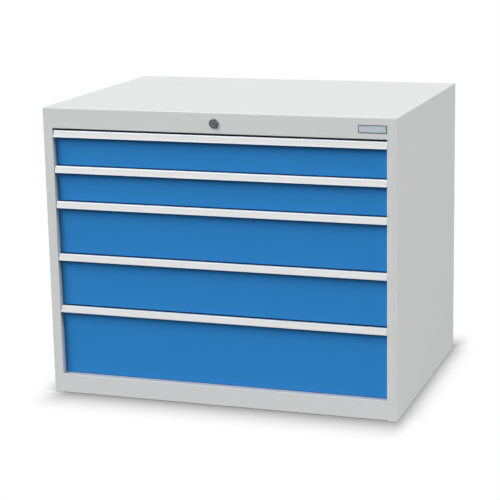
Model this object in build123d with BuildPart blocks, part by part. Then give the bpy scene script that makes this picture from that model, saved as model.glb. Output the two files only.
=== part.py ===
# Workshop drawer cabinet: a folded sheet steel carcass, five drawers of full extension on
# nested rails, a slanted grip and label strip along each drawer, and one central lock.
# Millimetres. X runs to the right, Y to the back and Z up. The front faces -Y.
# The origin is on the floor, in the middle of the whole outline.
import os
from math import cos, radians, sin

from build123d import *

# What the drawers hold, and how their fronts share the height
usable_width = 900.0
usable_depth = 600.0
grid_pitch = 50.0
drawer_units = (2, 2, 3, 3, 4)  # front heights in grid steps, from the top drawer down

# Sheet thicknesses and the outer radii of their bends
carcass_sheet = 1.5
rear_sheet = 1.0
tray_sheet = 1.0
front_sheet = 1.2
rail_sheet = 1.6
carcass_bend = 2.2
front_bend = 2.0

# Carcass
stile_width = 28.0
stile_return = 24.0
side_room = 23.5  # from a tray's side to the stile's inner edge, where the rails run
header_height = 57.5
header_lip = 18.0
base_height = 56.0
foot_flange = 30.0
rear_fold = 25.0
rear_room = 107.5  # behind the trays, where the lock works
top_edge_round = 1.2

# Gaps round the drawer fronts, and between sliding pieces
top_gap = 5.5
bottom_gap = 1.0
front_gap = 1.0
side_gap = 1.0
running_gap = 0.4

# Drawer front, with the strip that is its grip and carries its label
front_recess = 16.5
pan_depth = 10.0
ledge_lip_place = 8.0
ledge_lip_drop = 7.0
grip_height = 19.3
grip_tilt = 5.0
grip_wall = 2.0
grip_flange = 1.5
grip_flange_reach = 11.5
grip_hook = 4.5
grip_round = 0.7
label_margin = 3.0
label_recess = 0.8
label_slack = 0.15

# Tray
tray_lift = 4.0
tray_drop = 22.0
tray_flange = 7.0
tray_corner = 3.0
tray_plate_drop = 5.5  # from the top of the drawer's front to the top of its plate
divider_slot_width = 4.0
divider_slot_margin = 12.0

# Catch on the back of each tray
catch_rise = 50.0
catch_width = 24.0
catch_reach = 20.0
catch_lip = 12.0
catch_sheet = 2.0

# Rails: half the height of the drawer's member, and where the three lie
rail_half_height = 21.0
rail_rise = 28.0
rail_front_gap = 3.0
drawer_rail_length = 590.0
middle_rail_length = 598.0
cabinet_rail_length = 640.0
drawer_rail_reach = 8.0
cabinet_rail_reach = 13.0
rear_lug_margin = 27.0  # from a cabinet rail's rear end to the middle of its rear lug

# Slotted uprights, and the lugs of the cabinet rails that hang in them
upright_depth = 40.0
upright_slot_width = 6.0
upright_slot_height = 20.0
lug_height = 14.0
lug_reach = 5.0

# Lock
lock_proud = 6.0
collar_diameter = 25.0
collar_chamfer = 1.0
barrel_diameter = 19.0
barrel_length = 24.0
barrel_hole_play = 0.2
plug_diameter = 13.6
plug_set_in = 0.5
plug_play = 0.06
key_slot_width = 7.5
key_slot_height = 2.2
key_slot_depth = 8.0
lock_nut_diameter = 26.0
lock_nut_thickness = 4.0
shaft_diameter = 10.0
shaft_play = 0.1

# Crank, lock bar and what guides them
crank_radius = 9.0
crank_start_angle = 45.0
crank_thickness = 4.0
crank_edge = 3.5
pin_diameter = 5.0
pin_play = 0.5
bar_width = 32.0
bar_thickness = 2.0
bar_crank_gap = 4.5
bar_above_slot = 16.0
bar_play = 0.3
finger_width = 16.0
finger_thickness = 4.0
tooth_thickness = 4.0
tooth_gap = 2.0
tooth_below_lip = 7.5
finger_below_lip = 0.8
column_width = 70.0
column_below_header = 4.0
guide_height = 25.0
guide_rise = 75.0
guide_foot = 11.0
screw_diameter = 4.0
screw_length = 6.0
screw_head_diameter = 7.0
screw_head_height = 2.4
screw_hole_play = 0.2
bearing_plate = 2.0
bearing_width = 30.0
bearing_below_shaft = 14.0
bearing_flange = 20.0
bearing_crank_gap = 10.0

# Name plate place on the header, left bare
plate_width = 76.0
plate_height = 21.0
plate_border = 2.0
plate_thickness = 1.2
plate_field_thickness = 0.8
plate_side_gap = 0.5
plate_drop = 1.5

# Overall sizes that follow
tray_half = usable_width / 2 + tray_sheet
opening_half = tray_half + side_room
cabinet_half = opening_half + stile_width
front_half = opening_half - side_gap
carcass_depth = front_recess + pan_depth + 2 * tray_sheet + usable_depth + rear_room
stack_height = grid_pitch * sum(drawer_units)
stack_bottom = base_height + bottom_gap
header_bottom = stack_bottom + stack_height - front_gap + top_gap
cabinet_height = header_bottom + header_height

# Places along Y that follow
front_y = (lock_proud - carcass_depth) / 2
rear_y = front_y + carcass_depth
recess_y = front_y + front_recess
tray_front_y = recess_y + pan_depth
tray_rear_y = tray_front_y + usable_depth + 2 * tray_sheet
tray_middle_y = (tray_front_y + tray_rear_y) / 2
rail_front_y = tray_front_y + rail_front_gap
rail_rear_y = rail_front_y + cabinet_rail_length
rear_panel_y = rear_y - carcass_sheet
front_upright_y = front_y + stile_return
rear_upright_y = rail_rear_y - rear_lug_margin - upright_depth / 2
upright_places = (front_upright_y, rear_upright_y)

# Places across and up that follow
butt_x = opening_half + carcass_bend
upright_x = opening_half + carcass_sheet
skin_x = cabinet_half - carcass_sheet
inner_bend = carcass_bend - carcass_sheet
between_bends_x = skin_x - inner_bend
under_top = cabinet_height - carcass_sheet
lock_z = header_bottom + header_height / 2
catch_y = tray_rear_y + catch_reach
tooth_y = catch_y - catch_sheet - tooth_gap
bar_front_y = catch_y + bar_crank_gap + running_gap
bar_rear_y = bar_front_y + bar_thickness
column_y = bar_rear_y + bar_play
crank_rear_y = bar_front_y - bar_crank_gap
pin_x = -crank_radius * cos(radians(crank_start_angle))
pin_rest_z = lock_z - crank_radius * sin(radians(crank_start_angle))
bar_lift = 2 * crank_radius * sin(radians(crank_start_angle))

# The drawer's member fits inside the middle rail's inner half, and the middle rail's
# outer half fits inside the cabinet's member. Each clears the next by the running gap.
drawer_rail_outer = rail_half_height
middle_rail_inner = drawer_rail_outer + running_gap
middle_rail_outer = middle_rail_inner + rail_sheet
cabinet_rail_inner = middle_rail_outer + running_gap
cabinet_rail_outer = cabinet_rail_inner + rail_sheet
middle_rail_low_x = tray_half + rail_sheet + running_gap
middle_web_x = tray_half + drawer_rail_reach + running_gap
middle_rail_high_x = upright_x - rail_sheet - running_gap


def front_low(number):
    """Height of the lower edge of a drawer's front; the drawers count from the top."""
    return stack_bottom + grid_pitch * sum(drawer_units[number:])


def front_top(number):
    """Height of the top of a drawer's front and grip strip."""
    return front_low(number) + grid_pitch * drawer_units[number - 1] - front_gap


def rail_level(number):
    """Height of the middle of a drawer's rails."""
    return front_low(number) + tray_lift + rail_rise


def facing_front(y):
    """A plane across the cabinet at y; what is extruded from it grows towards the front."""
    return Plane.XZ.offset(-y)


def save(piece, name):
    """Label a finished piece and write it as one STEP file."""
    piece.part.label = name
    export_step(piece.part, f"parts/{name}.step")


def make_side_panel():
    """Right side: one sheet folded into the front stile and the rear flange, and a foot."""
    with BuildPart() as panel:
        with BuildSketch(Plane.XY):
            with BuildLine():
                FilletPolyline(
                    (opening_half, front_y + stile_return),
                    (opening_half, front_y),
                    (cabinet_half, front_y),
                    (cabinet_half, rear_y),
                    (opening_half, rear_y),
                    radius=carcass_bend,
                )
                offset(amount=carcass_sheet, side=Side.LEFT)
            make_face()
        extrude(amount=under_top)
        foot_length = rear_panel_y - front_y - 2 * (foot_flange + carcass_sheet)
        with BuildSketch(Plane.XY):
            with Locations((skin_x - foot_flange / 2, (front_y + rear_panel_y) / 2)):
                Rectangle(foot_flange, foot_length)
        extrude(amount=carcass_sheet)
        # The stile's inner fold ends at the header and at the plinth, which butt against the stile
        for level, height in ((0, base_height), (header_bottom, under_top - header_bottom)):
            with BuildSketch(Plane.XY.offset(level)):
                with Locations((opening_half + carcass_bend / 2, front_y + stile_return / 2)):
                    Rectangle(carcass_bend, stile_return)
            extrude(amount=height, mode=Mode.SUBTRACT)
    return panel


def make_top_panel():
    """Top sheet, folded down at the front as the header and at the back over the rear panel."""
    with BuildPart() as panel:
        with BuildSketch(Plane.YZ):
            with BuildLine():
                FilletPolyline(
                    (front_y + header_lip, header_bottom),
                    (front_y, header_bottom),
                    (front_y, cabinet_height),
                    (rear_y, cabinet_height),
                    (rear_y, cabinet_height - rear_fold),
                    radius=carcass_bend,
                )
                offset(amount=carcass_sheet, side=Side.RIGHT)
            make_face()
        extrude(amount=cabinet_half, both=True)
        # The folds end at the stiles and the rear flanges, where only the flat sheet goes on
        half_depth = carcass_depth / 2
        with BuildSketch(Plane.XY.offset(under_top)):
            with Locations(((butt_x + cabinet_half) / 2, front_y + half_depth / 2)):
                Rectangle(cabinet_half - butt_x, half_depth)
            with Locations((opening_half + stile_width / 2, rear_y - half_depth / 2)):
                Rectangle(stile_width, half_depth)
            mirror(about=Plane.YZ)
        extrude(amount=-header_height, mode=Mode.SUBTRACT)
        side_edges = panel.edges().filter_by(Axis.Y).group_by(Axis.Z)[-1].sort_by(Axis.X)
        fillet([side_edges[0], side_edges[-1]], radius=top_edge_round)
        with BuildSketch(facing_front(front_y)):
            with Locations((0, lock_z)):
                Circle(barrel_diameter / 2 + barrel_hole_play / 2)
        extrude(amount=-carcass_sheet, mode=Mode.SUBTRACT)
    return panel


def make_base_panel():
    """Floor sheet of the cabinet, folded down to the floor at the front and the back."""
    with BuildPart() as panel:
        with BuildSketch(Plane.YZ):
            with BuildLine():
                FilletPolyline(
                    (front_y + foot_flange, 0),
                    (front_y, 0),
                    (front_y, base_height),
                    (rear_panel_y, base_height),
                    (rear_panel_y, 0),
                    (rear_panel_y - foot_flange, 0),
                    radius=carcass_bend,
                )
                offset(amount=carcass_sheet, side=Side.RIGHT)
            make_face()
        extrude(amount=between_bends_x, both=True)
        # The plinth's face ends at the stiles; the floor sheet goes on under their inner folds
        with BuildSketch(Plane.XY):
            with Locations(((butt_x + skin_x) / 2, front_y + carcass_bend / 2)):
                Rectangle(skin_x - butt_x, carcass_bend)
            mirror(about=Plane.YZ)
        extrude(amount=base_height, mode=Mode.SUBTRACT)
    return panel


def make_rear_panel():
    """Flat sheet inside the flanges of the side panels and the fold of the top."""
    panel_top = under_top - inner_bend
    with BuildPart() as panel:
        with BuildSketch(facing_front(rear_panel_y)):
            with Locations((0, (base_height + panel_top) / 2)):
                Rectangle(2 * between_bends_x, panel_top - base_height)
        extrude(amount=rear_sheet)
    return panel


def make_upright(y):
    """Slotted channel at the right side, open to the side wall; y is its front."""
    slot_levels = [rail_level(len(drawer_units)) + grid_pitch * step for step in range(sum(drawer_units))]
    with BuildPart() as upright:
        with BuildSketch(Plane.XY.offset(base_height)):
            with BuildLine():
                FilletPolyline(
                    (skin_x, y),
                    (upright_x, y),
                    (upright_x, y + upright_depth),
                    (skin_x, y + upright_depth),
                    radius=carcass_bend,
                )
                offset(amount=carcass_sheet, side=Side.RIGHT)
            make_face()
        extrude(amount=under_top - base_height)
        with BuildSketch(Plane.YZ.offset(upright_x)):
            with Locations([(y + upright_depth / 2, level) for level in slot_levels]):
                Rectangle(upright_slot_width, upright_slot_height)
        extrude(amount=carcass_sheet, mode=Mode.SUBTRACT)
    return upright


def on_left(piece):
    """The mirrored twin of a piece that was made for the right side."""
    with BuildPart() as twin:
        mirror(piece.part, about=Plane.YZ)
    return twin


def channel(web_x, tip_x, outer):
    """Section of a channel rail in the running sketch, with its web at one end."""
    with Locations(((web_x + tip_x) / 2, 0)):
        Rectangle(abs(tip_x - web_x), 2 * outer)
    hollow = abs(tip_x - web_x) - rail_sheet
    toward_tip = 1 if tip_x > web_x else -1
    with Locations((tip_x - toward_tip * hollow / 2, 0)):
        Rectangle(hollow, 2 * (outer - rail_sheet), mode=Mode.SUBTRACT)


def rail_plane(y, number):
    """Plane of a rail's section at y, level with the middle of that drawer's rails."""
    return Plane(origin=(0, y, rail_level(number)), x_dir=(1, 0, 0), z_dir=(0, -1, 0))


def make_drawer_rails(number):
    """Pair of members on the tray's sides."""
    with BuildPart() as rails:
        with BuildSketch(rail_plane(rail_front_y, number)):
            channel(tray_half, tray_half + drawer_rail_reach, drawer_rail_outer)
        extrude(amount=-drawer_rail_length)
        mirror(about=Plane.YZ)
    return rails


def make_middle_rails(number):
    """Pair of middle rails: two channels back to back, with one web."""
    flange_level = (middle_rail_inner + middle_rail_outer) / 2
    flange_x = (middle_rail_low_x + middle_rail_high_x) / 2
    flange_width = middle_rail_high_x - middle_rail_low_x
    with BuildPart() as rails:
        with BuildSketch(rail_plane(rail_front_y, number)):
            with Locations((flange_x, flange_level), (flange_x, -flange_level)):
                Rectangle(flange_width, rail_sheet)
            with Locations((middle_web_x + rail_sheet / 2, 0)):
                Rectangle(rail_sheet, 2 * middle_rail_outer)
        extrude(amount=-middle_rail_length)
        mirror(about=Plane.YZ)
    return rails


def make_cabinet_rails(number):
    """Pair of members on the uprights, each with lugs that hang in the slots."""
    lug_rest = rail_level(number) - upright_slot_height / 2 + lug_height / 2
    with BuildPart() as rails:
        with BuildSketch(rail_plane(rail_front_y, number)):
            channel(upright_x, upright_x - cabinet_rail_reach, cabinet_rail_outer)
        extrude(amount=-cabinet_rail_length)
        with BuildSketch(Plane.YZ.offset(upright_x)):
            with Locations([(y + upright_depth / 2, lug_rest) for y in upright_places]):
                Rectangle(upright_slot_width - 2 * running_gap, lug_height)
        extrude(amount=lug_reach)
        mirror(about=Plane.YZ)
    return rails


def make_tray(number):
    """Open tray with slotted front and rear walls, a wide front plate and a rear catch."""
    low = front_low(number)
    floor = low + tray_lift
    wall_top = front_top(number) - tray_drop
    plate_top = front_top(number) - tray_plate_drop
    slot_count = round(usable_width / grid_pitch) - 1
    slot_height = wall_top - floor - 2 * divider_slot_margin
    catch_level = floor + catch_rise
    with BuildPart() as tray:
        with BuildSketch(Plane.XY.offset(floor)):
            with Locations((0, tray_middle_y)):
                Rectangle(2 * tray_half, tray_rear_y - tray_front_y)
        extrude(amount=wall_top - floor)
        fillet(tray.edges().filter_by(Axis.Z), radius=tray_corner)
        offset(amount=-tray_sheet, openings=tray.faces().sort_by(Axis.Z)[-1])
        # Edges of the side and rear walls turn outwards
        with BuildSketch(Plane.XY.offset(wall_top - tray_sheet)):
            with Locations((0, tray_middle_y + tray_flange / 2)):
                Rectangle(2 * (tray_half + tray_flange), tray_rear_y - tray_front_y + tray_flange)
            with Locations((0, tray_middle_y)):
                RectangleRounded(usable_width, usable_depth, tray_corner - tray_sheet, mode=Mode.SUBTRACT)
        extrude(amount=tray_sheet)
        # The front plate closes the back of the drawer front, and folds over it
        with BuildSketch(Plane.YZ):
            with BuildLine():
                Polyline(
                    (tray_front_y, low),
                    (tray_front_y, plate_top - tray_sheet),
                    (recess_y + front_sheet, plate_top - tray_sheet),
                    (recess_y + front_sheet, plate_top),
                    (tray_front_y + tray_sheet, plate_top),
                    (tray_front_y + tray_sheet, low),
                    close=True,
                )
            make_face()
        extrude(amount=front_half - front_sheet, both=True)
        # Slots for divider walls, through the front and rear walls
        with BuildSketch(facing_front(tray_rear_y)):
            with Locations((0, (floor + wall_top) / 2)):
                with GridLocations(grid_pitch, 0, slot_count, 1):
                    Rectangle(divider_slot_width, slot_height)
        extrude(amount=tray_rear_y - tray_front_y, mode=Mode.SUBTRACT)
        # Catch for the lock bar's tooth
        with BuildSketch(Plane.YZ):
            with BuildLine():
                Polyline(
                    (tray_rear_y, catch_level),
                    (catch_y, catch_level),
                    (catch_y, catch_level - catch_lip),
                    (catch_y - catch_sheet, catch_level - catch_lip),
                    (catch_y - catch_sheet, catch_level - catch_sheet),
                    (tray_rear_y, catch_level - catch_sheet),
                    close=True,
                )
            make_face()
        extrude(amount=catch_width / 2, both=True)
    return tray


def make_drawer_front(number):
    """Front sheet with back-turned edges, folded forwards at the top as a ledge with a lip."""
    low = front_low(number)
    ledge = front_top(number) - grip_flange - front_sheet
    lip_y = front_y + ledge_lip_place
    front_inner_bend = front_bend - front_sheet
    with BuildPart() as front:
        with BuildSketch(Plane.YZ):
            with BuildLine():
                FilletPolyline(
                    (tray_front_y, low),
                    (recess_y, low),
                    (recess_y, ledge),
                    (lip_y, ledge),
                    (lip_y, ledge - ledge_lip_drop),
                    radius=(front_bend, front_inner_bend, front_inner_bend),
                )
                offset(amount=front_sheet, side=Side.RIGHT)
            make_face()
        extrude(amount=front_half, both=True)
        with BuildSketch(Plane.YZ.offset(front_half - front_sheet)):
            with Locations(((recess_y + front_bend + tray_front_y) / 2, (low + ledge) / 2)):
                Rectangle(pan_depth - front_bend, ledge - low)
        extrude(amount=front_sheet)
        mirror(about=Plane.YZ)
    return front


def grip_face(number, height, inset):
    """Point on the strip's slanted face, as (y, z), a height above its lower edge."""
    return (
        front_y + grip_tilt * height / grip_height + inset,
        front_top(number) - grip_height + height,
    )


def make_grip_strip(number):
    """Extruded grip: a slanted face with a label channel, hooked under at its lower edge."""
    top = front_top(number)
    bottom = top - grip_height
    with BuildPart() as strip:
        with BuildSketch(Plane.YZ) as section:
            with BuildLine():
                Polyline(
                    grip_face(number, 0, 0),
                    grip_face(number, label_margin, 0),
                    grip_face(number, label_margin, label_recess),
                    grip_face(number, grip_height - label_margin, label_recess),
                    grip_face(number, grip_height - label_margin, 0),
                    grip_face(number, grip_height, 0),
                    (front_y + grip_flange_reach, top),
                    (front_y + grip_flange_reach, top - grip_flange),
                    grip_face(number, grip_height - grip_flange, grip_wall),
                    grip_face(number, grip_wall, grip_wall),
                    (front_y + grip_hook, bottom + grip_wall),
                    (front_y + grip_hook, bottom),
                    close=True,
                )
            make_face()
            corners = section.vertices().group_by(Axis.Y)
            fillet(corners[0] + corners[-1].sort_by(Axis.X)[:1], radius=grip_round)
        extrude(amount=front_half, both=True)
    return strip


def make_label_strip(number):
    """Blank label under its clear cover, in the channel of the grip strip."""
    low = label_margin + label_slack
    high = grip_height - label_margin - label_slack
    with BuildPart() as label:
        with BuildSketch(Plane.YZ):
            with BuildLine():
                Polyline(
                    grip_face(number, low, label_slack),
                    grip_face(number, low, label_recess),
                    grip_face(number, high, label_recess),
                    grip_face(number, high, label_slack),
                    close=True,
                )
            make_face()
        extrude(amount=front_half - label_margin, both=True)
    return label


def make_lock_housing():
    """Collar on the header's face and threaded barrel behind it, bored for the plug."""
    with BuildPart() as housing:
        with BuildSketch(facing_front(front_y)):
            with Locations((0, lock_z)):
                Circle(collar_diameter / 2)
        extrude(amount=lock_proud)
        chamfer(housing.edges().group_by(Axis.Y)[0], length=collar_chamfer)
        with BuildSketch(facing_front(front_y)):
            with Locations((0, lock_z)):
                Circle(barrel_diameter / 2)
        extrude(amount=-barrel_length)
        with BuildSketch(facing_front(front_y + barrel_length)):
            with Locations((0, lock_z)):
                Circle(plug_diameter / 2 + plug_play)
        extrude(amount=barrel_length + lock_proud, mode=Mode.SUBTRACT)
    return housing


def make_lock_nut():
    """Hexagon nut that clamps the barrel behind the header."""
    with BuildPart() as nut:
        with BuildSketch(facing_front(front_y + carcass_sheet + lock_nut_thickness)):
            with Locations((0, lock_z)):
                RegularPolygon(lock_nut_diameter / 2, 6)
                Circle(barrel_diameter / 2 + barrel_hole_play / 2, mode=Mode.SUBTRACT)
        extrude(amount=lock_nut_thickness)
    return nut


def make_lock_plug():
    """Turning core of the lock, with the slot for the key."""
    plug_front = front_y - lock_proud + plug_set_in
    with BuildPart() as plug:
        with BuildSketch(facing_front(front_y + barrel_length)):
            with Locations((0, lock_z)):
                Circle(plug_diameter / 2)
        extrude(amount=front_y + barrel_length - plug_front)
        with BuildSketch(facing_front(plug_front)):
            with Locations((0, lock_z)):
                Rectangle(key_slot_width, key_slot_height)
        extrude(amount=-key_slot_depth, mode=Mode.SUBTRACT)
    return plug


def make_lock_shaft():
    """Long shaft from the plug to the crank at the back."""
    with BuildPart() as shaft:
        with BuildSketch(facing_front(crank_rear_y)):
            with Locations((0, lock_z)):
                Circle(shaft_diameter / 2)
        extrude(amount=crank_rear_y - front_y - barrel_length)
    return shaft


def make_lock_crank():
    """Short arm on the shaft's end, with the pin that lifts the lock bar."""
    with BuildPart() as crank:
        with BuildSketch(facing_front(crank_rear_y)):
            with Locations((0, lock_z)):
                Circle(shaft_diameter / 2 + crank_edge)
            with Locations((pin_x, pin_rest_z)):
                Circle(pin_diameter / 2 + crank_edge)
            make_hull()
            with Locations((0, lock_z)):
                Circle(shaft_diameter / 2, mode=Mode.SUBTRACT)
        extrude(amount=crank_thickness)
        with BuildSketch(facing_front(bar_rear_y + pin_play)):
            with Locations((pin_x, pin_rest_z)):
                Circle(pin_diameter / 2)
        extrude(amount=bar_rear_y + pin_play - crank_rear_y)
    return crank


def make_shaft_bearing():
    """Plate that hangs from the top sheet and carries the shaft in front of the crank."""
    plate_y = crank_rear_y - crank_thickness - bearing_crank_gap
    plate_bottom = lock_z - bearing_below_shaft
    with BuildPart() as bearing:
        with BuildSketch(facing_front(plate_y)):
            with Locations((0, (plate_bottom + under_top) / 2)):
                Rectangle(bearing_width, under_top - plate_bottom)
            with Locations((0, lock_z)):
                Circle(shaft_diameter / 2 + shaft_play, mode=Mode.SUBTRACT)
        extrude(amount=bearing_plate)
        with BuildSketch(Plane.XY.offset(under_top)):
            with Locations((0, plate_y - bearing_flange / 2)):
                Rectangle(bearing_width, bearing_flange)
        extrude(amount=-bearing_plate)
    return bearing


def guide_levels():
    """Middle heights of the two guides, above the top and the bottom drawer's fingers."""
    return [front_low(number) + guide_rise for number in (1, len(drawer_units))]


def guide_screw_places():
    """Screw centres as (x, z), two on each guide's feet."""
    foot_x = bar_width / 2 + running_gap + carcass_sheet + guide_foot / 2
    return [(side * foot_x, level) for level in guide_levels() for side in (-1, 1)]


def make_lock_bar():
    """Flat bar with one finger and tooth for each drawer, and a slot for the crank's pin."""
    lowest = len(drawer_units)
    slot_level = pin_rest_z
    slot_middle = (pin_x - crank_radius) / 2
    slot_room = crank_radius + pin_x
    bar_top = slot_level + bar_above_slot
    with BuildPart() as bar:
        bar_bottom = front_low(lowest) + tray_lift + catch_rise - catch_lip
        bar_bottom -= finger_below_lip + bar_lift + 2 * finger_thickness
        with BuildSketch(facing_front(bar_rear_y)):
            with Locations((0, (bar_bottom + bar_top) / 2)):
                Rectangle(bar_width, bar_top - bar_bottom)
            with Locations((slot_middle, slot_level)):
                slot_height = pin_diameter + 2 * pin_play
                SlotOverall(slot_room + slot_height, slot_height, mode=Mode.SUBTRACT)
        extrude(amount=bar_thickness)
        with BuildSketch(Plane.YZ):
            for number in range(1, lowest + 1):
                lip_low = front_low(number) + tray_lift + catch_rise - catch_lip
                arm_top = lip_low - finger_below_lip - bar_lift
                tooth_top = lip_low - tooth_below_lip
                with BuildLine():
                    Polyline(
                        (bar_front_y, arm_top),
                        (bar_front_y, arm_top - finger_thickness),
                        (tooth_y - tooth_thickness, arm_top - finger_thickness),
                        (tooth_y - tooth_thickness, tooth_top),
                        (tooth_y, tooth_top),
                        (tooth_y, arm_top),
                        close=True,
                    )
                make_face()
        extrude(amount=finger_width / 2, both=True)
    return bar


def make_lock_column():
    """Channel on the rear panel that the lock bar slides along."""
    column_top = header_bottom - column_below_header
    with BuildPart() as column:
        with BuildSketch(Plane.XY.offset(base_height)):
            with BuildLine():
                FilletPolyline(
                    (-column_width / 2, rear_panel_y - rear_sheet),
                    (-column_width / 2, column_y),
                    (column_width / 2, column_y),
                    (column_width / 2, rear_panel_y - rear_sheet),
                    radius=carcass_bend,
                )
                offset(amount=carcass_sheet, side=Side.LEFT)
            make_face()
        extrude(amount=column_top - base_height)
        with BuildSketch(facing_front(column_y + carcass_sheet)):
            with Locations(guide_screw_places()):
                Circle((screw_diameter + screw_hole_play) / 2)
        extrude(amount=carcass_sheet, mode=Mode.SUBTRACT)
    return column


def make_lock_bar_guides():
    """Two straps over the lock bar, with feet on the column."""
    inside = bar_width / 2 + running_gap
    outside = inside + carcass_sheet
    bridge_y = bar_front_y - running_gap
    with BuildPart() as guides:
        for level in guide_levels():
            with BuildSketch(Plane.XY.offset(level - guide_height / 2)):
                with BuildLine():
                    Polyline(
                        (-outside - guide_foot, column_y),
                        (-inside, column_y),
                        (-inside, bridge_y),
                        (inside, bridge_y),
                        (inside, column_y),
                        (outside + guide_foot, column_y),
                        (outside + guide_foot, column_y - carcass_sheet),
                        (outside, column_y - carcass_sheet),
                        (outside, bridge_y - carcass_sheet),
                        (-outside, bridge_y - carcass_sheet),
                        (-outside, column_y - carcass_sheet),
                        (-outside - guide_foot, column_y - carcass_sheet),
                        close=True,
                    )
                make_face()
            extrude(amount=guide_height)
        with BuildSketch(facing_front(column_y)):
            with Locations(guide_screw_places()):
                Circle((screw_diameter + screw_hole_play) / 2)
        extrude(amount=carcass_sheet, mode=Mode.SUBTRACT)
    return guides


def make_guide_screws():
    """Round-headed screws through the guides' feet into the column."""
    head_y = column_y - carcass_sheet
    with BuildPart() as screws:
        with BuildSketch(facing_front(head_y)):
            with Locations(guide_screw_places()):
                Circle(screw_head_diameter / 2)
        extrude(amount=screw_head_height)
        with BuildSketch(facing_front(head_y + screw_length)):
            with Locations(guide_screw_places()):
                Circle(screw_diameter / 2)
        extrude(amount=screw_length)
    return screws


def make_plate_frame():
    """Raised rim of the name plate's place, at the right end of the header."""
    with BuildPart() as frame:
        with BuildSketch(plate_plane()):
            Rectangle(plate_width, plate_height)
            Rectangle(plate_width - 2 * plate_border, plate_height - 2 * plate_border, mode=Mode.SUBTRACT)
        extrude(amount=plate_thickness)
    return frame


def make_plate_field():
    """Bare field inside the rim."""
    with BuildPart() as field:
        with BuildSketch(plate_plane()):
            Rectangle(plate_width - 2 * plate_border, plate_height - 2 * plate_border)
        extrude(amount=plate_field_thickness)
    return field


def plate_plane():
    """Plane on the header's face, in the middle of the name plate's place."""
    plate_x = opening_half - plate_side_gap - plate_width / 2
    return Plane(origin=(plate_x, front_y, lock_z - plate_drop), x_dir=(1, 0, 0), z_dir=(0, -1, 0))


def main():
    os.makedirs("parts", exist_ok=True)

    side_panel = make_side_panel()
    save(side_panel, "side_panel_right")
    save(on_left(side_panel), "side_panel_left")
    save(make_top_panel(), "top_panel")
    save(make_base_panel(), "base_panel")
    save(make_rear_panel(), "rear_panel")
    for place, y in (("front", front_upright_y), ("rear", rear_upright_y)):
        upright = make_upright(y)
        save(upright, f"upright_{place}_right")
        save(on_left(upright), f"upright_{place}_left")
    save(make_plate_frame(), "name_plate_frame")
    save(make_plate_field(), "name_plate_field")

    for number in range(1, len(drawer_units) + 1):
        save(make_cabinet_rails(number), f"cabinet_rails_{number}")
        save(make_middle_rails(number), f"middle_rails_{number}")
        save(make_drawer_rails(number), f"drawer_rails_{number}")
        save(make_tray(number), f"drawer_tray_{number}")
        save(make_drawer_front(number), f"drawer_front_{number}")
        save(make_grip_strip(number), f"grip_strip_{number}")
        save(make_label_strip(number), f"label_strip_{number}")

    save(make_lock_housing(), "lock_housing")
    save(make_lock_nut(), "lock_nut")
    save(make_lock_plug(), "lock_plug")
    save(make_lock_shaft(), "lock_shaft")
    save(make_lock_crank(), "lock_crank")
    save(make_shaft_bearing(), "shaft_bearing")
    save(make_lock_column(), "lock_column")
    save(make_lock_bar_guides(), "lock_bar_guides")
    save(make_guide_screws(), "guide_screws")
    save(make_lock_bar(), "lock_bar")


main()
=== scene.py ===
"""Finish of the workshop drawer cabinet: powder coat, anodised strips, zinc-plated rails and a
nickel-plated lock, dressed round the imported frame. Metres; the front faces -Y and Z is up."""
import math

import bmesh
import bpy
from mathutils import Matrix, Vector


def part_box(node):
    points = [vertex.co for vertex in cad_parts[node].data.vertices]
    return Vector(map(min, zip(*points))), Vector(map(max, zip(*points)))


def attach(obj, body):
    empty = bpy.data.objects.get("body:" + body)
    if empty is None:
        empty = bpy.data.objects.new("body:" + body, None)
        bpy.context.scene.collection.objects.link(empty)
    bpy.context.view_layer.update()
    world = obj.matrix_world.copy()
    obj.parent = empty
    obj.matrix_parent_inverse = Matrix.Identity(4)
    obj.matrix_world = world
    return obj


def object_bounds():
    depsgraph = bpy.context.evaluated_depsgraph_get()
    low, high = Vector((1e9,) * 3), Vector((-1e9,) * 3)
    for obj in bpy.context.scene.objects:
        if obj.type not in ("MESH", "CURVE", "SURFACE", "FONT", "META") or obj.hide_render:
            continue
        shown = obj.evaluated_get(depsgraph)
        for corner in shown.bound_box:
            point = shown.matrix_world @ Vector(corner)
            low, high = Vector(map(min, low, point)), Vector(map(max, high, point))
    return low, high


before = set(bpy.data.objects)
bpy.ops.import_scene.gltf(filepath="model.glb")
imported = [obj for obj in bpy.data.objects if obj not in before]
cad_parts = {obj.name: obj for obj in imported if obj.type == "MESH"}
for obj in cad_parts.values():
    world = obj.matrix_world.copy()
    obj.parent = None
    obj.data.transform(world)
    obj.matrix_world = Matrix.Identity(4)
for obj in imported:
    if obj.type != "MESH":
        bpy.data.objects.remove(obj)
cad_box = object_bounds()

MM = 0.001
DRAWER_COUNT = sum(name.startswith("drawer_front_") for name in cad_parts)
DRAWERS = range(1, DRAWER_COUNT + 1)
SHARP_ANGLE = math.radians(40)

# The camera, as it stood for the photograph: place, turn and zoom, found from the case's corners
CAMERA_AZIMUTH = math.radians(17.93)
CAMERA_ELEVATION = math.radians(12.34)
CAMERA_ROLL = math.radians(-0.88)
CAMERA_PLACE = Vector((1.459, -4.315, 1.417))
FOCAL_PIXELS = 1592.2
PHOTO_SIDE = 500
IMAGE_MIDDLE_PIXEL = (280, 230)
SENSOR_WIDTH = 36.0

# The sky: its strength overhead, and how fast it gets there from the horizon up
SKY_LIGHT = 0.34
SKY_RISE = 1.6

# Large softboxes, so far off that their light is even over the whole cabinet: azimuth, which is 0
# in front of the drawers and 90 at the cabinet's right, elevation, and strength
FAR_SOFTBOXES = {
    "front_left_softbox": (-45, 40, 2.69),
    "low_front_softbox": (-10, 25, 0.61),
    "right_softbox": (93, 30, 2.4),
}
SOFTBOX_SPREAD = math.radians(40)

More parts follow.
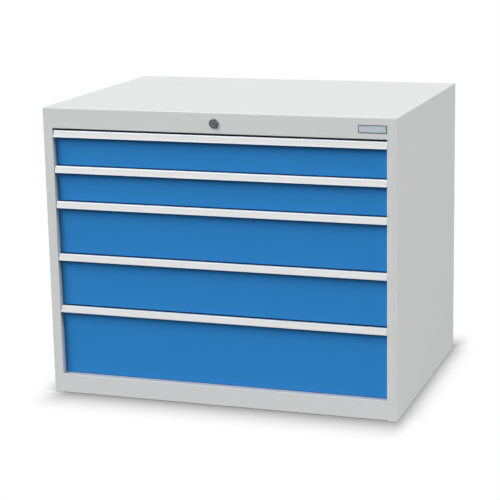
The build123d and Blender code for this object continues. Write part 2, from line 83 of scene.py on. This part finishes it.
# The wide low softbox that lights the cabinet's back
REAR_SOFTBOX_SIZE = (2.0, 0.6)
REAR_SOFTBOX_PLACE = (-1.25, 3.0, 0.35)
REAR_SOFTBOX_POWER = 44.0

# The floor: how far it goes each way, the light that it sends back up, and how far the shade on it
# reaches. Most light comes from the left, so the shade there starts inside the cabinet's corner.
FLOOR_REACH = 14.0
FLOOR_BOUNCE = (0.15, 0.15, 0.15, 1.0)
SHADE_RIGHT = 0.06
SHADE_LEFT = 0.1
SHADE_LEFT_INSET = 0.04
SHADE_BEFORE = 0.17
SHADE_UNDER = 0.085
SHADE_DEPTH = 0.6
FOOT_FADE = 2.0
UNDER_FADE = 1.8
WALL_COVER = 0.5


def linear(red, green, blue):
    """Colour as it looks on a screen, 0 to 255, turned into the linear values that shaders take."""
    def channel(value):
        value = value / 255
        return value / 12.92 if value <= 0.04045 else ((value + 0.055) / 1.055) ** 2.4
    return (channel(red), channel(green), channel(blue), 1.0)


def put_in_scene(name, data):
    """New object in the scene, of a mesh, a light or a camera."""
    thing = bpy.data.objects.new(name, data)
    bpy.context.scene.collection.objects.link(thing)
    return thing


# Shader nodes

MIX_UNDER, MIX_OVER, MIX_RESULT = 6, 7, 2  # the colour sockets of a Mix node


def add(tree, kind, **settings):
    """New node with its settings and, by socket name or number, its values."""
    node = tree.nodes.new(kind)
    for key, value in settings.pop("values", {}).items():
        node.inputs[key].default_value = value
    for key, value in settings.items():
        setattr(node, key, value)
    return node


def join(tree, source, target):
    """Feed an input from a socket, or set it to a plain number."""
    if isinstance(source, (int, float)):
        target.default_value = source
    else:
        tree.links.new(source, target)


def math_node(tree, operation, first, second=None, clamp=False):
    """Result of a Math node; each operand is a number or a socket."""
    node = add(tree, "ShaderNodeMath", operation=operation, use_clamp=clamp)
    join(tree, first, node.inputs[0])
    if second is not None:
        join(tree, second, node.inputs[1])
    return node.outputs[0]


def own_place(tree):
    """Point in the piece's own coordinates, so that a pattern moves with the piece."""
    return add(tree, "ShaderNodeTexCoord").outputs["Object"]


def length_of(tree, vector):
    """Length of a vector socket."""
    length = add(tree, "ShaderNodeVectorMath", operation="LENGTH")
    join(tree, vector, length.inputs[0])
    return length.outputs["Value"]


def noise(tree, place, scale, detail, roughness=0.5):
    """Noise from 0 to 1 over a place; its scale is a number or a socket."""
    texture = add(tree, "ShaderNodeTexNoise", values={"Detail": detail, "Roughness": roughness})
    join(tree, place, texture.inputs["Vector"])
    join(tree, scale, texture.inputs["Scale"])
    return texture.outputs["Fac"]


def lay_over(tree, mask, under, over):
    """Colour socket with one plain colour laid over it by a mask."""
    blend = add(tree, "ShaderNodeMix", data_type="RGBA")
    join(tree, mask, blend.inputs["Factor"])
    join(tree, under, blend.inputs[MIX_UNDER])
    blend.inputs[MIX_OVER].default_value = over
    return blend.outputs[MIX_RESULT]


def bump(tree, height, strength, distance):
    """Bump node over a height."""
    node = add(tree, "ShaderNodeBump", values={"Strength": strength, "Distance": distance})
    join(tree, height, node.inputs["Height"])
    return node


# Shader node groups, each built once

SKIN_OUTPUTS = [("Color", "NodeSocketColor"), ("Roughness", "NodeSocketFloat"), ("Height", "NodeSocketFloat")]
COAT_ROUGHNESS_SWING = 0.12
METAL_ROUGHNESS_SWING = 0.3
GRAIN_SHARE = 0.25
MOTTLE_SCALE = 5.0
EDGE_CONTRAST = 4.0


def group_shell(name, inputs, outputs):
    """Empty node group with named sockets, its entry node and its exit node."""
    group = bpy.data.node_groups.new(name, "ShaderNodeTree")
    for label, kind, value in inputs:
        socket = group.interface.new_socket(label, in_out="INPUT", socket_type=kind)
        socket.default_value = value
    for label, kind in outputs:
        group.interface.new_socket(label, in_out="OUTPUT", socket_type=kind)
    entry = group.nodes.new("NodeGroupInput")
    leave = group.nodes.new("NodeGroupOutput")
    return group, entry, leave


def vary_skin(group, leave, pattern, colour, contrast, roughness, swing):
    """Lead a colour and a roughness out of a group, both varied by a pattern from 0 to 1."""
    shift = math_node(group, "SUBTRACT", pattern, 0.5)
    tone = math_node(group, "ADD", math_node(group, "MULTIPLY", shift, contrast), 1.0)
    varied = add(group, "ShaderNodeVectorMath", operation="SCALE")
    join(group, colour, varied.inputs[0])
    join(group, tone, varied.inputs["Scale"])
    join(group, varied.outputs[0], leave.inputs["Color"])
    rough = math_node(group, "ADD", math_node(group, "MULTIPLY", shift, swing), roughness)
    join(group, rough, leave.inputs["Roughness"])


def make_powder_group():
    """Orange peel and fine grain of baked powder coat, with a faint mottle of its colour."""
    group, entry, leave = group_shell(
        "powder_coat_skin",
        [
            ("Paint", "NodeSocketColor", (0.5, 0.5, 0.5, 1)),
            ("Peel Scale", "NodeSocketFloat", 420.0),
            ("Grain Scale", "NodeSocketFloat", 1900.0),
            ("Mottle", "NodeSocketFloat", 0.03),
            ("Gloss Roughness", "NodeSocketFloat", 0.4),
        ],
        SKIN_OUTPUTS,
    )
    given = entry.outputs
    place = own_place(group)
    peel = noise(group, place, given["Peel Scale"], detail=2.0, roughness=0.45)
    grain = noise(group, place, given["Grain Scale"], detail=1.0)
    mottle = noise(group, place, MOTTLE_SCALE, detail=3.0, roughness=0.55)
    height = math_node(group, "ADD", peel, math_node(group, "MULTIPLY", grain, GRAIN_SHARE))
    join(group, height, leave.inputs["Height"])
    vary_skin(
        group, leave, mottle, given["Paint"], given["Mottle"], given["Gloss Roughness"], COAT_ROUGHNESS_SWING
    )
    return group


def make_edge_group():
    """Mask of sharp edges, where powder coat lies thin and handling polishes it."""
    group, entry, leave = group_shell(
        "sheet_edge",
        [("Width", "NodeSocketFloat", 0.0004), ("Breakup Scale", "NodeSocketFloat", 160.0)],
        [("Mask", "NodeSocketFloat"), ("Normal", "NodeSocketVector")],
    )
    soft = add(group, "ShaderNodeBevel", samples=4)
    join(group, entry.outputs["Width"], soft.inputs["Radius"])
    align = add(group, "ShaderNodeVectorMath", operation="DOT_PRODUCT")
    join(group, soft.outputs["Normal"], align.inputs[0])
    join(group, add(group, "ShaderNodeNewGeometry").outputs["Normal"], align.inputs[1])
    turned = math_node(group, "SUBTRACT", 1.0, align.outputs["Value"])
    strong = math_node(group, "MULTIPLY", turned, EDGE_CONTRAST, clamp=True)
    patchy = noise(group, own_place(group), entry.outputs["Breakup Scale"], detail=2.0)
    join(group, math_node(group, "MULTIPLY", strong, patchy), leave.inputs["Mask"])
    join(group, soft.outputs["Normal"], leave.inputs["Normal"])
    return group


def make_brush_group():
    """Fine lines drawn out along one direction, as extruding, rolling or polishing leaves them."""
    group, entry, leave = group_shell(
        "drawn_lines",
        [
            ("Metal", "NodeSocketColor", (0.7, 0.7, 0.7, 1)),
            ("Stretch", "NodeSocketVector", (0.02, 1.0, 1.0)),
            ("Line Scale", "NodeSocketFloat", 1500.0),
            ("Contrast", "NodeSocketFloat", 0.1),
            ("Base Roughness", "NodeSocketFloat", 0.35),
        ],
        SKIN_OUTPUTS,
    )
    given = entry.outputs
    stretched = add(group, "ShaderNodeVectorMath", operation="MULTIPLY")
    join(group, own_place(group), stretched.inputs[0])
    join(group, given["Stretch"], stretched.inputs[1])
    lines = noise(group, stretched.outputs[0], given["Line Scale"], detail=4.0, roughness=0.6)
    join(group, lines, leave.inputs["Height"])
    vary_skin(
        group, leave, lines, given["Metal"], given["Contrast"], given["Base Roughness"], METAL_ROUGHNESS_SWING
    )
    return group


def make_weld_group():
    """Row of shallow dimples up a flange, where it is spot-welded through to the sheet behind it."""
    group, entry, leave = group_shell(
        "spot_welds",
        [
            ("Row Middle", "NodeSocketFloat", 0.488),
            ("Flange Face", "NodeSocketFloat", 0.371),
            ("Pitch", "NodeSocketFloat", 0.085),
            ("Dimple Radius", "NodeSocketFloat", 0.0035),
        ],
        [("Mask", "NodeSocketFloat")],
    )
    given = entry.outputs
    place = add(group, "ShaderNodeSeparateXYZ")
    join(group, own_place(group), place.inputs[0])
    half_pitch = math_node(group, "MULTIPLY", given["Pitch"], 0.5)
    aside = math_node(group, "ABSOLUTE", place.outputs["X"])
    across = math_node(group, "SUBTRACT", aside, given["Row Middle"])
    along = math_node(group, "PINGPONG", place.outputs["Z"], half_pitch)
    away = math_node(group, "SUBTRACT", given["Flange Face"], place.outputs["Y"])
    reach = add(group, "ShaderNodeCombineXYZ")
    for index, distance in enumerate((across, along, away)):
        join(group, distance, reach.inputs[index])
    share = math_node(group, "DIVIDE", length_of(group, reach.outputs[0]), given["Dimple Radius"])
    join(group, math_node(group, "SUBTRACT", 1.0, share, clamp=True), leave.inputs["Mask"])
    return group


POWDER = make_powder_group()
EDGE = make_edge_group()
BRUSH = make_brush_group()
WELDS = make_weld_group()


# Materials

ALONG_X = (0.02, 1.0, 1.0)
ALONG_Y = (1.0, 0.02, 1.0)
ALONG_Z = (1.0, 1.0, 0.02)
EVERY_WAY = (1.0, 1.0, 1.0)


def material_shell(name, **sockets):
    """Material with one Principled BSDF; constant values go straight onto its sockets."""
    material = bpy.data.materials.new(name)
    material.use_nodes = True
    tree = material.node_tree
    shader = tree.nodes["Principled BSDF"]
    for label, value in sockets.items():
        shader.inputs[label.replace("_", " ")].default_value = value
    return material, tree, shader


def place_group(tree, group, **values):
    """One of the groups, placed in a material with its own values."""
    node = add(tree, "ShaderNodeGroup", node_tree=group)
    for label, value in values.items():
        node.inputs[label.replace("_", " ")].default_value = value
    return node


def powder_coat(name, paint, bare_edge, roughness, **sockets):
    """Baked powder coat over sheet steel, a little lighter where it lies thin at the edges."""
    material, tree, shader = material_shell(name, **sockets)
    skin = place_group(tree, POWDER, Paint=paint, Gloss_Roughness=roughness)
    edge = place_group(tree, EDGE)
    worn = lay_over(tree, edge.outputs["Mask"], skin.outputs["Color"], bare_edge)
    join(tree, worn, shader.inputs["Base Color"])
    join(tree, skin.outputs["Roughness"], shader.inputs["Roughness"])
    peel = bump(tree, skin.outputs["Height"], strength=0.25, distance=0.12 * MM)
    join(tree, edge.outputs["Normal"], peel.inputs["Normal"])
    join(tree, peel.outputs["Normal"], shader.inputs["Normal"])
    return material


def grey_powder_coat(name):
    """The light grey of the case and of the drawers' insides."""
    return powder_coat(name, linear(211, 213, 213), linear(226, 227, 227), 0.56, Specular_IOR_Level=0.12)


def dimple_the_flanges(material):
    """Add the spot welds' dimples to a powder coat, under its orange peel."""
    tree = material.node_tree
    peel = tree.nodes["Principled BSDF"].inputs["Normal"].links[0].from_node
    welds = place_group(tree, WELDS)
    dimples = bump(tree, welds.outputs["Mask"], strength=0.6, distance=-0.4 * MM)
    join(tree, peel.inputs["Normal"].links[0].from_socket, dimples.inputs["Normal"])
    join(tree, dimples.outputs["Normal"], peel.inputs["Normal"])


def paint_shade_on_ledge(material, painted_shade):
    """Painted shade and a painted blue reflection: a darker, bluish grey laid over the faces of a powder coat
    that look up.
    """
    tree = material.node_tree
    base = tree.nodes["Principled BSDF"].inputs["Base Color"]
    facing = add(tree, "ShaderNodeSeparateXYZ")
    join(tree, add(tree, "ShaderNodeTexCoord").outputs["Normal"], facing.inputs[0])
    upward = math_node(tree, "MAXIMUM", facing.outputs["Z"], 0.0)
    join(tree, lay_over(tree, upward, base.links[0].from_socket, painted_shade), base)


def drawn_metal(name, metal, stretch, scale, contrast, roughness, depth, **sockets):
    """Metal with fine lines, drawn out along one axis or in no direction."""
    material, tree, shader = material_shell(name, **sockets)
    lines = place_group(
        tree, BRUSH,
        Metal=metal, Stretch=stretch, Line_Scale=scale, Contrast=contrast, Base_Roughness=roughness,
    )
    join(tree, lines.outputs["Color"], shader.inputs["Base Color"])
    join(tree, lines.outputs["Roughness"], shader.inputs["Roughness"])
    relief = bump(tree, lines.outputs["Height"], strength=0.3, distance=depth)
    join(tree, relief.outputs["Normal"], shader.inputs["Normal"])
    return material


def moulded_plastic(name, colour, roughness, **sockets):
    """Plastic with the fine grain of its mould."""
    material, tree, shader = material_shell(name, **sockets)
    skin = place_group(
        tree, POWDER,
        Paint=colour, Peel_Scale=900.0, Grain_Scale=4000.0, Mottle=0.05, Gloss_Roughness=roughness,
    )
    join(tree, skin.outputs["Color"], shader.inputs["Base Color"])
    join(tree, skin.outputs["Roughness"], shader.inputs["Roughness"])
    relief = bump(tree, skin.outputs["Height"], strength=0.15, distance=0.04 * MM)
    join(tree, relief.outputs["Normal"], shader.inputs["Normal"])
    return material


case_coat = grey_powder_coat("grey_powder_coat")
side_coat = grey_powder_coat("grey_powder_coat_welded")
floor_coat = grey_powder_coat("grey_powder_coat_painted_shade")
dimple_the_flanges(side_coat)
# Painted shade: the floor sheet's upward faces, with its ledge under the bottom drawer, get a darker bluish
# grey for shade and the blue fronts' reflection
paint_shade_on_ledge(floor_coat, linear(172, 178, 190))
blue_coat = powder_coat(
    "blue_powder_coat", (0.028, 0.216, 0.551, 1.0), linear(80, 145, 205), 0.4, Specular_IOR_Level=0.08
)
anodised = drawn_metal(
    "anodised_aluminium", linear(204, 208, 213), ALONG_X,
    scale=2200.0, contrast=0.08, roughness=0.42, depth=0.03 * MM, Metallic=0.75,
)
zinc_along_y = drawn_metal(
    "zinc_plate_rolled", linear(188, 194, 200), ALONG_Y,
    scale=900.0, contrast=0.16, roughness=0.36, depth=0.04 * MM, Metallic=0.75,
)
zinc_along_z = drawn_metal(
    "zinc_plate_upright", linear(186, 192, 198), ALONG_Z,
    scale=900.0, contrast=0.16, roughness=0.36, depth=0.04 * MM, Metallic=0.75,
)
nickel = drawn_metal(
    "dull_nickel", linear(130, 131, 132), EVERY_WAY,
    scale=1400.0, contrast=0.2, roughness=0.38, depth=0.03 * MM, Metallic=0.8,
)
plug_metal = drawn_metal(
    "plug_metal", linear(156, 157, 158), ALONG_X,
    scale=1600.0, contrast=0.25, roughness=0.4, depth=0.03 * MM, Metallic=0.8,
)
# Near black: painted shade for the depth of the key slot, laid on the flaps inside it
keyhole_painted_shade = drawn_metal(
    "keyhole_painted_shade", linear(22, 23, 25), ALONG_X,
    scale=1600.0, contrast=0.2, roughness=0.6, depth=0.02 * MM, Specular_IOR_Level=0.05,
)
label_cover = moulded_plastic("label_cover", linear(210, 211, 211), 0.35, Coat_Weight=0.4, Coat_Roughness=0.1)
rim_plastic = moulded_plastic("plate_rim", linear(88, 95, 104), 0.45)
field_plastic = moulded_plastic("plate_field", linear(190, 201, 212), 0.4)
buffer_rubber = moulded_plastic("buffer_rubber", linear(40, 41, 43), 0.65)

FINISHES = {
    "side_panel": side_coat,
    "top_panel": case_coat,
    "base_panel": floor_coat,
    "rear_panel": case_coat,
    "upright": case_coat,
    "lock_column": case_coat,
    "drawer_tray": case_coat,
    "drawer_front": blue_coat,
    "grip_strip": anodised,
    "label_strip": label_cover,
    "cabinet_rails": zinc_along_y,
    "middle_rails": zinc_along_y,
    "drawer_rails": zinc_along_y,
    "lock_shaft": zinc_along_y,
    "lock_bar": zinc_along_z,
    "lock_crank": zinc_along_z,
    "shaft_bearing": zinc_along_z,
    "guide_screws": zinc_along_z,
    "lock_nut": zinc_along_z,
    "lock_housing": nickel,
    "lock_plug": plug_metal,
    "name_plate_frame": rim_plastic,
    "name_plate_field": field_plastic,
}


def dress_frame():
    """Each node takes the finish whose name its own name starts with."""
    for name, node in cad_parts.items():
        kind = next(start for start in FINISHES if name.startswith(start))
        node.data.materials.clear()
        node.data.materials.append(FINISHES[kind])


# Small pieces that the frame leaves out: rivets, stops, buffers, screws and the key slot's shutter

# Half sections of turned heads, as radius and height above the seat in millimetres
RIVET_HEAD = ((4.0, 0.0), (4.0, 0.5), (3.5, 1.1), (2.3, 1.6), (0.9, 1.8))
SCREW_HEAD = ((4.6, 0.0), (4.6, 0.3), (4.1, 0.7), (3.0, 0.9))
SOCKET = ((1.75, 0.9), (1.6, 0.25))
BUFFER_DOME = ((8.0, 0.0), (8.0, 2.0), (6.6, 6.0), (5.0, 7.8), (2.0, 8.6))
TURNED_POINTS = 24
HEXAGON_CORNERS = 6


def ring(middle, toward, radius, height, flats=0):
    """Points round an axis at a height above its seat, both in millimetres; with flats, the ring is
    a polygon of that many sides, and the radius goes to the middle of a side."""
    across = toward.orthogonal().normalized()
    up = toward.cross(across)
    points = []
    for index in range(TURNED_POINTS):
        turn = 2 * math.pi * index / TURNED_POINTS
        reach = radius
        if flats:
            half_side = math.pi / flats
            reach = radius / math.cos(turn % (2 * half_side) - half_side)
        spoke = across * math.cos(turn) + up * math.sin(turn)
        points.append(middle + toward * height * MM + spoke * reach * MM)
    return points


def loft(shape, sections):
    """Closed skin over matching loops of points, added to a running shape."""
    loops = [[shape.verts.new(point) for point in section] for section in sections]
    count = len(loops[0])
    for low, high in zip(loops, loops[1:]):
        for index in range(count):
            after = (index + 1) % count
            shape.faces.new((low[index], low[after], high[after], high[index]))
    shape.faces.new(list(reversed(loops[0])))
    shape.faces.new(loops[-1])


def turn_on(shape, profile, middle, toward, socket=()):
    """Turned head on a face, with a hexagon socket where its profile is given."""
    sections = [ring(middle, toward, radius, height) for radius, height in profile]
    sections += [ring(middle, toward, radius, height, HEXAGON_CORNERS) for radius, height in socket]
    loft(shape, sections)


def make_piece(name, shape, material, body):
    """Turn a finished shape into a piece that rides a body."""
    bmesh.ops.recalc_face_normals(shape, faces=shape.faces)
    mesh = bpy.data.meshes.new(name)
    shape.to_mesh(mesh)
    shape.free()
    mesh.shade_smooth()
    mesh.set_sharp_from_angle(angle=SHARP_ANGLE)
    mesh.materials.append(material)
    piece = put_in_scene(name, mesh)
    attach(piece, body)


RAIL_REACH = 8.0 * MM
RAIL_SHEET = 1.6 * MM
RIVETS_A_RAIL = 4
RIVET_MARGIN = 45.0 * MM


def rivet_rails(number):
    """Dome-headed rivets that hold a drawer's rails to the tray, in the hollow of each rail."""
    low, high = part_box(f"drawer_rails_{number}")
    pitch = (high.y - low.y - 2 * RIVET_MARGIN) / (RIVETS_A_RAIL - 1)
    level = (low.z + high.z) / 2
    shape = bmesh.new()
    for side in (-1, 1):
        seat_x = side * (high.x - RAIL_REACH + RAIL_SHEET)
        for index in range(RIVETS_A_RAIL):
            seat = Vector((seat_x, low.y + RIVET_MARGIN + index * pitch, level))
            turn_on(shape, RIVET_HEAD, seat, Vector((side, 0, 0)))
    make_piece(f"rail_rivets_{number}", shape, zinc_along_z, f"drawer_{number}")


CORNER_STEPS = 4


def rounded_outline(middle_x, middle_z, half_x, half_z, radius, y):
    """Loop of points round a rectangle with round corners, level with y."""
    points = []
    for corner in range(4):
        corner_x = middle_x + (half_x - radius) * (1 if corner in (0, 3) else -1)
        corner_z = middle_z + (half_z - radius) * (1 if corner in (0, 1) else -1)
        for step in range(CORNER_STEPS + 1):
            turn = math.radians(90 * corner + 90 * step / CORNER_STEPS)
            points.append(Vector((corner_x + radius * math.cos(turn), y, corner_z + radius * math.sin(turn))))
    return points


RUNNING_GAP = 0.4 * MM
RAIL_STOP_PLAY = 0.6 * MM
RAIL_STOP_INSET = 1.6 * MM
RAIL_STOP_ROUND = 2.5 * MM
RAIL_STOP_SECTIONS = ((0.4, 1.4), (1.2, 0.4), (2.6, 0.0), (10.0, 0.0))  # millimetres back and in


def stop_rails(number):
    """Moulded buffers in the front ends of a drawer's middle rails, on the side away from the tray."""
    low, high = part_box(f"middle_rails_{number}")
    web_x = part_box(f"drawer_rails_{number}")[1].x + RUNNING_GAP + RAIL_SHEET
    half_x = (high.x - web_x) / 2 - RAIL_STOP_PLAY
    half_z = (high.z - low.z) / 2 - RAIL_SHEET - RAIL_STOP_INSET
    level = (low.z + high.z) / 2
    shape = bmesh.new()
    for side in (-1, 1):
        middle_x = side * (web_x + high.x) / 2
        sections = []
        for back, inset in RAIL_STOP_SECTIONS:
            inset *= MM
            sections.append(rounded_outline(
                middle_x, level, half_x - inset, half_z - inset, RAIL_STOP_ROUND - inset, low.y + back * MM
            ))
        loft(shape, sections)
    make_piece(f"rail_stops_{number}", shape, buffer_rubber, f"middle_{number}")


CATCH_REACH = 20.0 * MM
BUFFER_PLACE_X = 200.0 * MM
BUFFER_RISE = 26.0 * MM


def buffer_tray(number):
    """Rubber buffers on the back of a tray, which soften its stop as it is pushed in."""
    low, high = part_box(f"drawer_tray_{number}")
    shape = bmesh.new()
    for side in (-1, 1):
        seat = Vector((side * BUFFER_PLACE_X, high.y - CATCH_REACH, low.z + BUFFER_RISE))
        turn_on(shape, BUFFER_DOME, seat, Vector((0, 1, 0)))
    make_piece(f"tray_buffers_{number}", shape, buffer_rubber, f"drawer_{number}")


TRAY_SHEET = 1.0 * MM
FRONT_SCREW_PLACES = (75.0 * MM, 375.0 * MM)


def screw_front(number):
    """Socket screws through a tray's front wall, which hold the drawer's front to it."""
    inner_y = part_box(f"drawer_front_{number}")[1].y + TRAY_SHEET
    low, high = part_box(f"drawer_rails_{number}")
    shape = bmesh.new()
    for place in FRONT_SCREW_PLACES:
        for side in (-1, 1):
            seat = Vector((side * place, inner_y, (low.z + high.z) / 2))
            turn_on(shape, SCREW_HEAD, seat, Vector((0, 1, 0)), SOCKET)
    make_piece(f"front_screws_{number}", shape, zinc_along_z, f"drawer_{number}")


SHUTTER_HALF_WIDTH = 3.7 * MM
SHUTTER_HALF_HEIGHT = 1.05 * MM
SHUTTER_GAP = 0.04 * MM
SHUTTER_RIM_DEPTH = 0.45 * MM
SHUTTER_MEETING_DEPTH = 1.1 * MM
SHUTTER_SHEET = 0.3 * MM


def shut_key_slot():
    """Pair of sprung flaps that close the key slot against dust and meet in a shallow vee; they are near
    black, a painted shade that stands for the keyhole's dark depth.
    """
    low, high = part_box("lock_plug")
    level = (low.z + high.z) / 2
    rim_y = low.y + SHUTTER_RIM_DEPTH
    meet_y = low.y + SHUTTER_MEETING_DEPTH
    shape = bmesh.new()
    for side in (-1, 1):
        rim_rise, meet_rise = side * SHUTTER_HALF_HEIGHT, side * SHUTTER_GAP
        outline = (
            (rim_y, rim_rise), (meet_y, meet_rise),
            (meet_y + SHUTTER_SHEET, meet_rise), (rim_y + SHUTTER_SHEET, rim_rise),
        )
        loft(shape, [
            [Vector((end * SHUTTER_HALF_WIDTH, y, level + rise)) for y, rise in outline] for end in (-1, 1)
        ])
    make_piece("key_slot_shutter", shape, keyhole_painted_shade, "lock_core")


def add_small_pieces():
    """Every small piece, drawer by drawer, and the lock's."""
    for number in DRAWERS:
        rivet_rails(number)
        stop_rails(number)
        buffer_tray(number)
        screw_front(number)
    shut_key_slot()


# Stage: floor, light and camera

def seen_by_camera(tree):
    """Output that is 1 where the camera sees a point directly, and 0 for reflected light."""
    return add(tree, "ShaderNodeLightPath").outputs["Is Camera Ray"]


def foot_shade(tree):
    """Shade round the cabinet's foot, 1 at the foot and 0 where its reach ends."""
    place = add(tree, "ShaderNodeSeparateXYZ")
    join(tree, own_place(tree), place.inputs[0])
    foot_x, foot_y = cad_box[1][0], cad_box[1][1]

    def past(axis, side, foot, reach):
        """How far a point of the floor lies beyond one side of the foot, in reaches."""
        outward = math_node(tree, "MULTIPLY", place.outputs[axis], side)
        return math_node(tree, "DIVIDE", math_node(tree, "SUBTRACT", outward, foot), reach)

    sides = {
        "X": (past("X", 1.0, foot_x, SHADE_RIGHT), past("X", -1.0, foot_x - SHADE_LEFT_INSET, SHADE_LEFT)),
        "Y": (past("Y", 1.0, foot_y, SHADE_BEFORE), past("Y", -1.0, foot_y, SHADE_BEFORE)),
    }
    away = add(tree, "ShaderNodeCombineXYZ")
    for axis, (one, other) in sides.items():
        farther = math_node(tree, "MAXIMUM", one, other)
        join(tree, math_node(tree, "MAXIMUM", farther, 0.0), away.inputs[axis])
    nearness = math_node(tree, "SUBTRACT", 1.0, length_of(tree, away.outputs[0]), clamp=True)
    return math_node(tree, "POWER", nearness, FOOT_FADE)


def low_shade(tree):
    """Shade under what hangs low over the floor, 1 at the foot of a wall, which hides half the sky."""
    open_sky = add(tree, "ShaderNodeAmbientOcclusion", samples=16, values={"Distance": SHADE_UNDER})
    hidden = math_node(tree, "SUBTRACT", 1.0, open_sky.outputs["AO"])
    return math_node(tree, "POWER", math_node(tree, "DIVIDE", hidden, WALL_COVER), UNDER_FADE)


def make_floor():
    """White floor with a soft shade where something meets it. The light that it sends back up is
    less than it shows to the camera, as from a floor in a large dark studio."""
    mesh = bpy.data.meshes.new("studio_floor")
    shape = bmesh.new()
    bmesh.ops.create_grid(shape, x_segments=1, y_segments=1, size=FLOOR_REACH)
    shape.to_mesh(mesh)
    shape.free()
    material, tree, shader = material_shell(
        "studio_floor", Base_Color=FLOOR_BOUNCE, Roughness=0.9, Specular_IOR_Level=0.0
    )
    deepest = math_node(tree, "MAXIMUM", foot_shade(tree), low_shade(tree))
    shade = math_node(tree, "MULTIPLY", deepest, SHADE_DEPTH)
    shown = add(tree, "ShaderNodeEmission")
    join(tree, math_node(tree, "SUBTRACT", 1.0, shade, clamp=True), shown.inputs["Strength"])
    look = add(tree, "ShaderNodeMixShader")
    join(tree, seen_by_camera(tree), look.inputs["Fac"])
    join(tree, shader.outputs["BSDF"], look.inputs[1])
    join(tree, shown.outputs["Emission"], look.inputs[2])
    join(tree, look.outputs["Shader"], tree.nodes["Material Output"].inputs["Surface"])
    mesh.materials.append(material)
    floor = put_in_scene("studio_floor", mesh)


def far_softbox(name, azimuth, elevation, strength):
    """Softbox of FAR_SOFTBOXES; its angles are in degrees."""
    around, up = math.radians(azimuth), math.radians(elevation)
    toward = Vector((math.sin(around) * math.cos(up), -math.cos(around) * math.cos(up), math.sin(up)))
    data = bpy.data.lights.new(name, "SUN")
    data.angle = SOFTBOX_SPREAD
    data.energy = strength
    put_in_scene(name, data).rotation_euler = toward.to_track_quat("Z", "Y").to_euler()


def rear_softbox():
    """Wide softbox behind the cabinet, lower than its top, so that its back isn't dark."""
    data = bpy.data.lights.new("rear_softbox", "AREA")
    data.shape = "RECTANGLE"
    data.size, data.size_y = REAR_SOFTBOX_SIZE
    data.energy = REAR_SOFTBOX_POWER
    light = put_in_scene("rear_softbox", data)
    light.location = REAR_SOFTBOX_PLACE
    light.rotation_euler = Vector(REAR_SOFTBOX_PLACE).to_track_quat("Z", "Y").to_euler()
    light.visible_camera = False


def light_studio():
    """Sky that brightens from the horizon up, plain white where the camera sees it, and softboxes."""
    world = bpy.data.worlds.new("studio")
    world.use_nodes = True
    tree = world.node_tree
    sky = tree.nodes["Background"]
    sky.inputs["Color"].default_value = (1, 1, 1, 1)
    toward = add(tree, "ShaderNodeSeparateXYZ")
    join(tree, add(tree, "ShaderNodeTexCoord").outputs["Generated"], toward.inputs[0])
    rising = math_node(tree, "MULTIPLY", toward.outputs["Z"], SKY_RISE, clamp=True)
    seen = seen_by_camera(tree)
    unseen = math_node(tree, "SUBTRACT", 1.0, seen)
    light = math_node(tree, "MULTIPLY", math_node(tree, "MULTIPLY", rising, SKY_LIGHT), unseen)
    join(tree, math_node(tree, "ADD", light, seen), sky.inputs["Strength"])
    bpy.context.scene.world = world
    for name, (azimuth, elevation, strength) in FAR_SOFTBOXES.items():
        far_softbox(name, azimuth, elevation, strength)
    rear_softbox()


def set_camera():
    """Camera at the photograph's place, turned and shifted until the object fills the same frame."""
    data = bpy.data.cameras.new("photo_camera")
    data.sensor_width = SENSOR_WIDTH
    data.lens = FOCAL_PIXELS / PHOTO_SIDE * SENSOR_WIDTH
    data.shift_x = -(IMAGE_MIDDLE_PIXEL[0] - PHOTO_SIDE / 2) / PHOTO_SIDE
    data.shift_y = (IMAGE_MIDDLE_PIXEL[1] - PHOTO_SIDE / 2) / PHOTO_SIDE
    forward = Vector((
        -math.sin(CAMERA_AZIMUTH) * math.cos(CAMERA_ELEVATION),
        math.cos(CAMERA_AZIMUTH) * math.cos(CAMERA_ELEVATION),
        -math.sin(CAMERA_ELEVATION),
    ))
    level_right = forward.cross(Vector((0, 0, 1))).normalized()
    level_up = level_right.cross(forward)
    right = level_right * math.cos(CAMERA_ROLL) + level_up * math.sin(CAMERA_ROLL)
    up = level_up * math.cos(CAMERA_ROLL) - level_right * math.sin(CAMERA_ROLL)
    turn = Matrix((right, up, -forward)).transposed().to_4x4()
    camera = put_in_scene("photo_camera", data)
    camera.matrix_world = Matrix.Translation(CAMERA_PLACE) @ turn
    bpy.context.scene.camera = camera


bpy.context.scene.view_settings.view_transform = "Standard"
dress_frame()
add_small_pieces()
make_floor()
light_studio()
set_camera()
